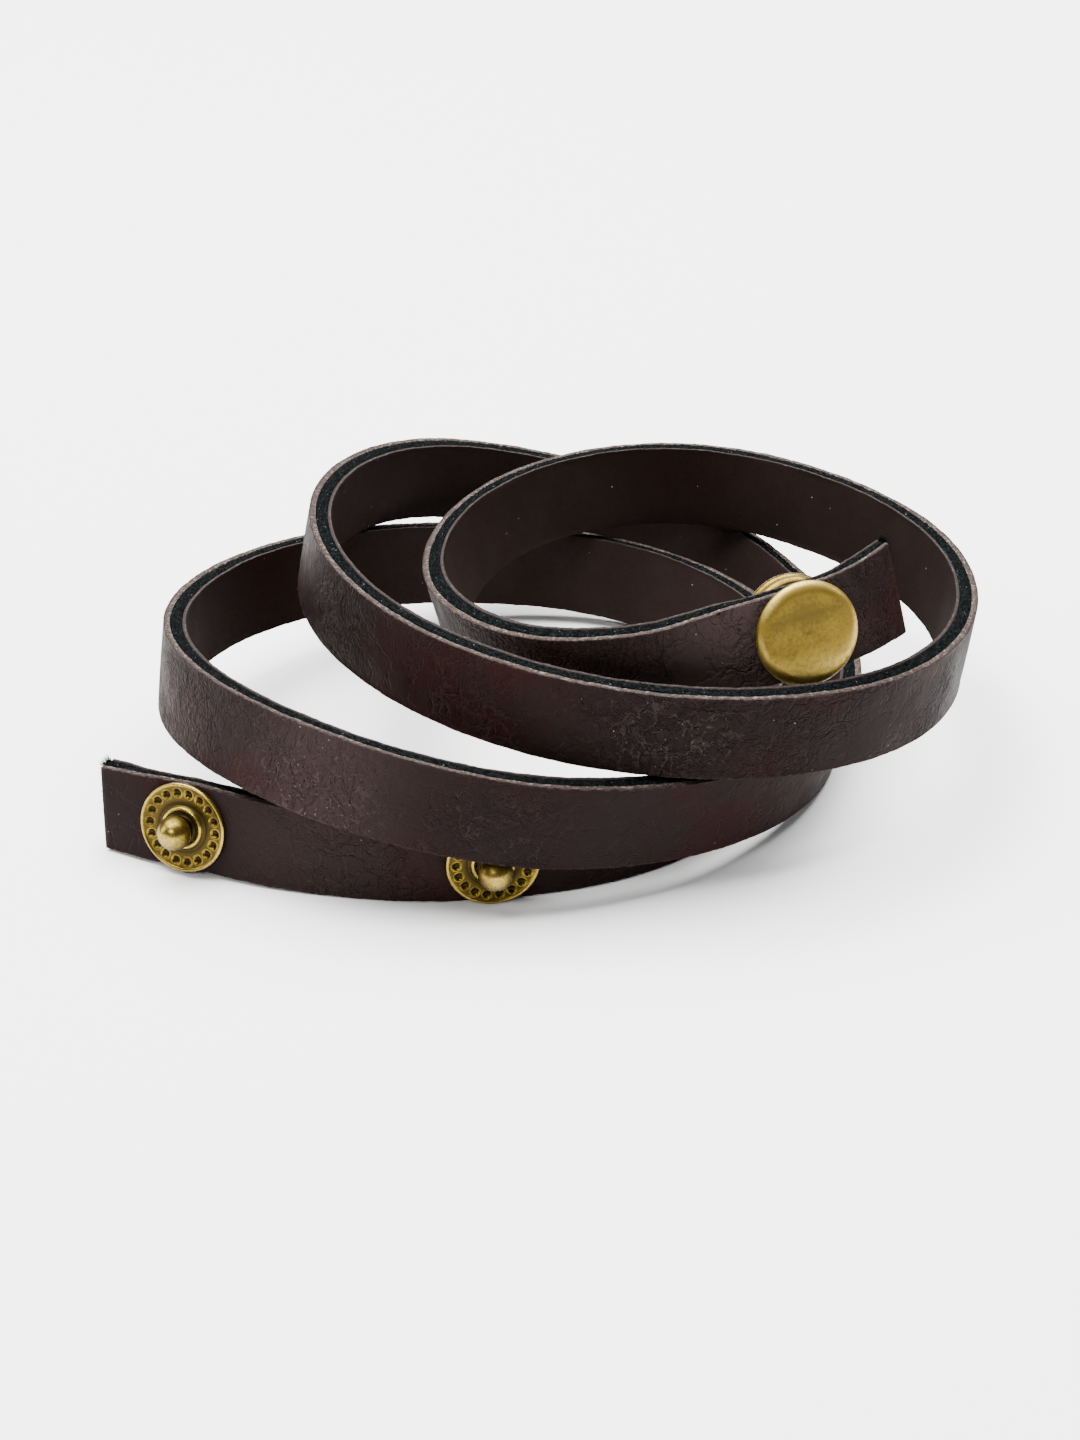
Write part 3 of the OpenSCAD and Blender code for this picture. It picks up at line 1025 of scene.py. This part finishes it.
def build_core(name, route, materials):
    """The felt core, which is rough on both cut edges and at both ends."""
    v, s = route.places(route.strap.core_step)
    rng = np.random.default_rng(CORE_SEED)
    thick = route.core_at(v)
    near = route.strap.outer + route.strap.gap
    half = route.strap.width / 2 - EDGE_INSET - CORE_INSET
    share = np.linspace(0, 1, CORE_EDGE_POINTS)
    swell = CORE_SWELL * (1 - (2 * share - 1) ** 2)

    def fuzzy_edge(seed):
        rough = rng.normal(0, CORE_ROUGH, (len(s), CORE_EDGE_POINTS)) + waves(s, EDGE_WAVES, seed)[:, None]
        return half + swell + rough

    depth_in = near + thick[:, None] * share
    top, low = fuzzy_edge(seed=21), -fuzzy_edge(seed=22)
    up = np.concatenate([top, low[:, ::-1]], 1)
    depth = np.concatenate([depth_in, depth_in[:, ::-1]], 1)
    pull = skewed(up, s, route)
    pull[0] -= rng.uniform(0, CORE_END_ROUGH, up.shape[1])
    pull[-1] += rng.uniform(0, CORE_END_ROUGH, up.shape[1])
    section = np.stack([up, depth, pull], -1)
    return swept(name, route, v, s, section, materials, np.zeros(up.shape[1], int), {})


def edge_fibres(route, fibres, rng):
    """Root, aim and length of each loose fibre along the strap's two edges, in mm.

    They point out of the edge, and lean along the strap and through its thickness.
    """
    strap = route.strap
    _, s = route.places(strap.step)
    count = int(fibres.density * s[-1])
    at = rng.uniform(0, SPANS, count)
    side = np.where(rng.uniform(size=count) < UPPER_SHARE, 1.0, -1.0)
    middle, along, out, up = route.frames(at)
    depth = strap.outer + strap.gap + route.core_at(at) * rng.uniform(0.02, 0.98, count)
    half = strap.width / 2 - EDGE_INSET - 0.1
    root = middle + (side * half)[:, None] * up - depth[:, None] * out
    aim = side[:, None] * up + rng.normal(0, 0.55, (count, 1)) * along
    aim = aim + rng.normal(0, 0.45, (count, 1)) * out
    return root, aim, fibres.length * rng.uniform(0.35, 1, count) ** 1.5


def end_fibres(route, fibres, rng, at, way):
    """Root, aim and length of each longer fibre at a cut end, in mm.

    way is -1 at the first end and 1 at the last. The tuft at the upper corner also leans upwards.
    """
    strap = route.strap
    n = fibres.end_fibres
    middle, along, out, up = (a[0] for a in route.frames(at))
    in_tuft = rng.uniform(size=n) < TUFT_SHARE
    tuft = 0.5 - np.abs(rng.normal(0, 0.09, n))
    high = np.where(in_tuft, tuft, rng.uniform(-0.5, 0.5, n))
    depth = strap.outer + strap.gap + strap.core * rng.uniform(0, 1, n)
    skew = END_SKEW * (0.5 - high) if way > 0 else np.zeros(n)
    root = middle + (high * strap.width * 0.97)[:, None] * up - depth[:, None] * out
    root = root - (skew * way)[:, None] * along - 0.1 * way * along
    aim = way * along + rng.normal(0, 0.5, (n, 1)) * up + rng.normal(0, 0.35, (n, 1)) * out
    aim = aim + (np.clip(high, 0, 1) ** 2 * 4)[:, None] * up
    return root, aim, fibres.length * END_LENGTH * rng.uniform(0.25, 1, n) ** 1.6


def build_fibres(name, route, fibres, materials):
    """Thin curved fibres, each a three-sided spike of two parts."""
    rng = np.random.default_rng(fibres.seed)
    parts = [edge_fibres(route, fibres, rng)]
    for at, way in ((0.0, -1.0), (float(SPANS), 1.0)):
        parts.append(end_fibres(route, fibres, rng, at, way))
    root, aim, length = (np.concatenate(part) for part in zip(*parts))
    aim = aim / np.linalg.norm(aim, axis=1)[:, None]
    n = len(root)
    side = np.cross(aim, rng.normal(size=(n, 3)))
    side /= np.linalg.norm(side, axis=1)[:, None]
    other = np.cross(aim, side)
    curl = rng.uniform(0.1, 0.5, (n, 1)) * length[:, None]
    mid = root + aim * length[:, None] * 0.55 + side * curl * 0.35
    tip = root + aim * length[:, None] + side * curl * 1.1
    tip[:, 2] = np.maximum(tip[:, 2], FIBRE_FLOOR)
    radius = fibres.radius * rng.uniform(0.6, 1.2, (n, 1))
    points = []
    for centre, size in ((root, 1.0), (mid, 0.8)):
        for angle in np.radians([0, 120, 240]):
            points.append(centre + radius * size * (math.cos(angle) * side + math.sin(angle) * other))
    points.append(tip)
    verts = np.stack(points, 1).reshape(-1, 3) * MM
    pattern = [(0, 1, 4, 3), (1, 2, 5, 4), (2, 0, 3, 5), (3, 4, 6), (4, 5, 6), (5, 3, 6)]
    faces = [tuple(7 * k + c for c in face) for k in range(n) for face in pattern]
    return add_piece(name, verts, faces, materials)


def smooth_profile(profile, parts):
    """A profile with more rows, on a smooth curve through all the given ones."""
    rows = np.array(profile, float)
    rows = np.concatenate([2 * rows[:1] - rows[1:2], rows, 2 * rows[-1:] - rows[-2:-1]])
    out = []
    for k in range(1, len(rows) - 2):
        a, b, c, d = rows[k - 1:k + 3]
        for t in np.arange(parts) / parts:
            point = 2 * b + (c - a) * t
            point += (2 * a - 5 * b + 4 * c - d) * t ** 2
            point += (3 * b - a - 3 * c + d) * t ** 3
            out.append(point / 2)
    out.append(rows[-2])
    out = np.array(out)
    out[:, 0] = np.maximum(out[:, 0], 0)
    return out


def dimples(radius, angle, height):
    """Height and wear that the ring of dimples adds to a stud's plate."""
    pitch = 2 * math.pi / DIMPLES
    off = (angle + pitch / 2) % pitch - pitch / 2
    away = np.hypot(radius * np.cos(off) - DIMPLE_RING_R, radius * np.sin(off)) / DIMPLE_R
    hollow = -DIMPLE_DEPTH * np.sqrt(np.clip(1 - away ** 2, 0, 1))
    lip = LIP_HEIGHT * np.exp(-((away - LIP_AT) / LIP_WIDTH) ** 2)
    inside = np.clip(DARK_R - away, 0, DARK_FADE) / DARK_FADE
    rubbed = np.exp(-((away - LIP_AT) / RUB_WIDTH) ** 2)
    wear = DARK_WEAR * inside + LIP_WEAR * rubbed + PLATE_WEAR
    plate = (height < PLATE_TOP) & (radius > PLATE_INNER_R)
    return np.where(plate, hollow + lip, 0), np.where(plate, wear, 0)


def cap_hollow_and_painted_reflection(radius, angle, height):
    """Height that the hollow adds to the cap, and wear that paints a dark reflection band and a bright
    lower half.
    """
    high = radius * np.sin(angle)
    band = np.exp(-((high - CAP_BAND_AT) / CAP_BAND_WIDTH) ** 2)
    hollow = -CAP_HOLLOW * np.clip(1 - (radius / CAP_HOLLOW_R) ** 2, 0, 1)
    low = np.clip(-high / CAP_LOW_FADE, 0, 1)
    lift = np.where(height > CAP_FACE_ABOVE, hollow, 0)
    # The band is a painted dark reflection and the lower half a painted bright reflection, both laid into
    # the wear
    return lift, CAP_DARK_REFLECTION * band + CAP_BRIGHT_REFLECTION * low


def turned(name, profile, steps, matrix, brass, node, detail=None):
    """A turned piece in its place on the strap, standing for a node of the part.

    steps has the fineness along the profile and around. detail gives what a face adds to its height
    and wear.
    """
    along, around = steps
    rows = smooth_profile(profile, along)
    centre = rows[0, 0] < 1e-6
    rings = rows[1:] if centre else rows
    angle = np.arange(around) / around * 2 * math.pi
    r, a = np.meshgrid(rings[:, 0], angle, indexing="ij")
    z = np.repeat(rings[:, 1:2], around, 1)
    wear = np.repeat(rings[:, 2:3], around, 1)
    if detail is not None:
        lift, change = detail(r, a, z)
        z = z + lift
        wear = np.clip(wear + change, 0, 1)
    local = np.stack([r * np.cos(a), r * np.sin(a), z], -1).reshape(-1, 3)
    n = len(rings)
    i, j = np.meshgrid(np.arange(n - 1), np.arange(around), indexing="ij")
    k = (j + 1) % around
    quads = np.stack([i * around + j, (i + 1) * around + j, (i + 1) * around + k, i * around + k], -1)
    faces = quads.reshape(-1, 4).tolist()
    wear = wear.ravel()
    if centre:
        local = np.concatenate([local, [[0, 0, rows[0, 1]]]])
        wear = np.append(wear, rows[0, 2])
        faces += [(n * around, q, (q + 1) % around) for q in range(around)]
    faces.append([(n - 1) * around + q for q in reversed(range(around))])
    place = np.array(matrix)
    verts = local @ place[:3, :3].T + place[:3, 3]
    piece = add_piece(name, verts, faces, [get_material(brass)], values={"wear": wear})
    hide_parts(node)


class BRACELET_OT_leather(bpy.types.Operator):
    """Builds the outer leather and the lining"""

    bl_idname = "bracelet.leather"
    bl_label = "Leather layers"

    def execute(self, context):
        strap = context.scene.bracelet_strap
        route = Route(strap)
        outer = build_leather(
            "strap_outer_look", route, near=lambda v: np.zeros(len(v)), thick=strap.outer,
            seed=1, face_out=True, face_points=OUTER_FACE_POINTS,
            materials=[get_material("outer_leather"), get_material("outer_cut")],
        )
        inner = strap.outer + 2 * strap.gap
        lining = build_leather(
            "strap_lining_look", route, near=lambda v: inner + route.core_at(v), thick=strap.lining,
            seed=2, face_out=False, face_points=LINING_FACE_POINTS,
            materials=[get_material("lining_leather"), get_material("lining_cut")],
        )
        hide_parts("strap_outer")
        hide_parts("strap_lining")
        return {"FINISHED"}


class BRACELET_OT_core(bpy.types.Operator):
    """Builds the felt core with its rough edges and loose fibres"""

    bl_idname = "bracelet.core"
    bl_label = "Felt core"

    def execute(self, context):
        route = Route(context.scene.bracelet_strap)
        fibres = context.scene.bracelet_fibres
        core = build_core("strap_core_look", route, [get_material("felt"), get_material("felt")])
        loose = build_fibres("strap_core_fibres", route, fibres, [get_material("loose_fibre")])
        for piece in (core, loose):
            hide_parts("strap_core")
        return {"FINISHED"}


class BRACELET_OT_snap(bpy.types.Operator):
    """Builds the snap: its cap outside and its socket on the lining side"""

    bl_idname = "bracelet.snap"
    bl_label = "Snap"

    def execute(self, context):
        route = Route(context.scene.bracelet_strap)
        turned(
            "snap_cap_look", CAP_PROFILE, CAP_STEPS, route.fitting(SNAP_AT),
            "cap_brass", "snap_cap", cap_hollow_and_painted_reflection,
        )
        turned(
            "snap_socket_look", SOCKET_PROFILE, SOCKET_STEPS, route.fitting(SNAP_AT, behind=True),
            "socket_brass", "snap_socket",
        )
        return {"FINISHED"}


class BRACELET_OT_studs(bpy.types.Operator):
    """Builds both studs with their dimpled plates and domed backs"""

    bl_idname = "bracelet.studs"
    bl_label = "Studs"

    def execute(self, context):
        route = Route(context.scene.bracelet_strap)
        for number, at in ((1, STUD_1_AT), (2, STUD_2_AT)):
            turned(
                f"stud_{number}_look", STUD_PROFILE, STUD_STEPS, route.fitting(at),
                "stud_brass", f"stud_{number}", dimples,
            )
            turned(
                f"stud_{number}_back_look", BACK_PROFILE, BACK_STEPS, route.fitting(at, behind=True),
                "back_brass", f"stud_{number}_back",
            )
        return {"FINISHED"}


def build_floor(width):
    """A square of pale paper under the bracelet."""
    half = width / 2
    corners = [(-half, -half, 0), (half, -half, 0), (half, half, 0), (-half, half, 0)]
    mesh = bpy.data.meshes.new("floor")
    mesh.from_pydata(corners, [], [(0, 1, 2, 3)])
    mesh.materials.append(get_material("studio_floor"))
    floor = bpy.data.objects.new("floor", mesh)
    floor.location.z = -FLOOR_DROP
    bpy.context.scene.collection.objects.link(floor)


def add_light(name, place, size, power, colour):
    """A soft rectangular light that points at the bracelet."""
    data = bpy.data.lights.new(name, "AREA")
    data.shape = "RECTANGLE"
    data.size, data.size_y = size
    data.energy = power
    data.color = colour
    lamp = bpy.data.objects.new(name, data)
    lamp.location = place
    lamp.rotation_euler = (Vector(LIGHT_AIM) - Vector(place)).to_track_quat("-Z", "Y").to_euler()
    bpy.context.scene.collection.objects.link(lamp)


def build_sky():
    """Weak even light from all sides."""
    world = bpy.data.worlds.new("studio")
    world.use_nodes = True
    background = world.node_tree.nodes["Background"]
    background.inputs["Color"].default_value = SKY
    background.inputs["Strength"].default_value = SKY_STRENGTH
    bpy.context.scene.world = world


def build_camera(stage):
    """The camera, which looks down at the middle of the photographed view."""
    lens = bpy.data.cameras.new("camera")
    lens.lens = stage.lens
    lens.clip_start, lens.clip_end = VIEW_RANGE
    camera = bpy.data.objects.new("camera", lens)
    pitch = math.radians(stage.pitch)
    aim = Vector((-CENTRE[0], -CENTRE[1], 0)) * MM
    back = Vector((0, -math.cos(pitch), math.sin(pitch)))
    camera.location = aim + back * stage.distance * MM
    camera.rotation_euler = (-back).to_track_quat("-Z", "Y").to_euler()
    bpy.context.scene.collection.objects.link(camera)
    bpy.context.scene.camera = camera


class BRACELET_OT_stage(bpy.types.Operator):
    """Builds the pale floor, the soft lights and the camera"""

    bl_idname = "bracelet.stage"
    bl_label = "Floor, lights and camera"

    def execute(self, context):
        stage = context.scene.bracelet_stage
        build_floor(stage.floor)
        for light in LIGHTS:
            add_light(*light)
        build_sky()
        build_camera(stage)
        return {"FINISHED"}


class BRACELET_PT_panel(bpy.types.Panel):
    """Lists the build steps in the sidebar"""

    bl_idname = "BRACELET_PT_panel"
    bl_label = "Bracelet"
    bl_space_type = "VIEW_3D"
    bl_region_type = "UI"
    bl_category = "Bracelet"

    def draw(self, context):
        layout = self.layout
        for name, kind in GROUPED.items():
            box = layout.box()
            for key in kind.__annotations__:
                box.prop(getattr(context.scene, name), key)
        for step in STEPS:
            layout.operator(step.bl_idname)


STEPS = (
    BRACELET_OT_stage,
    BRACELET_OT_leather,
    BRACELET_OT_core,
    BRACELET_OT_snap,
    BRACELET_OT_studs,
)
GROUPED = {
    "bracelet_strap": StrapSettings,
    "bracelet_fibres": FibreSettings,
    "bracelet_colours": ColourSettings,
    "bracelet_stage": StageSettings,
}
CLASSES = (*GROUPED.values(), *STEPS, BRACELET_PT_panel)


def register():
    for cls in CLASSES:
        bpy.utils.register_class(cls)
    for name, group in GROUPED.items():
        setattr(bpy.types.Scene, name, PointerProperty(type=group))


def unregister():
    for name in GROUPED:
        delattr(bpy.types.Scene, name)
    for cls in reversed(CLASSES):
        bpy.utils.unregister_class(cls)


def main():
    register()
    bpy.ops.bracelet.stage()
    bpy.ops.bracelet.leather()
    bpy.ops.bracelet.core()
    bpy.ops.bracelet.snap()
    bpy.ops.bracelet.studs()


if __name__ == "__main__":
    main()
